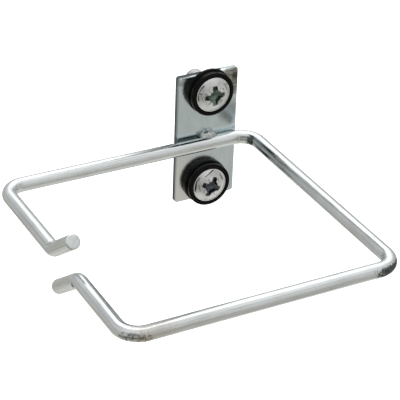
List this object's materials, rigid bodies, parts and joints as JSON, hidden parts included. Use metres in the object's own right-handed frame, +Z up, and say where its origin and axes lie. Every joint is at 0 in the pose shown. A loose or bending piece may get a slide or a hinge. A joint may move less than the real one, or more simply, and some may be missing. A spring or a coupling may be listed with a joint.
{
  "type": "rack cable ring",
  "caption": "Bent-rod D-ring cable hook with a slanted side opening, welded to a flat plate held by cross-recess screws in black cup washers.",
  "frame": {"origin": "middle of the mounting plate's back face, half way between the two screws", "axes": "+X along the plate's width towards the ring's short side, +Y out of the plate's back into the rack rail, +Z up; the ring reaches out along -Y"},
  "size_m": [0.0874, 0.0987, 0.0466],
  "materials": {
    "rod_zinc": "bright zinc plate on drawn steel rod",
    "plate_zinc": "glossy blue-passivated zinc plate on sheet steel",
    "weld_metal": "rippled weld metal under zinc plate",
    "washer_black": "semi-gloss black moulded nylon",
    "screw_zinc": "satin zinc plate"
  },
  "bodies": {
    "root": {"ring_rod": "rod_zinc", "mounting_plate": "plate_zinc", "weld_bead": "weld_metal", "cup_washer_upper": "washer_black", "cup_washer_lower": "washer_black", "screw_upper": "screw_zinc", "screw_lower": "screw_zinc"}
  },
  "joints": []
}
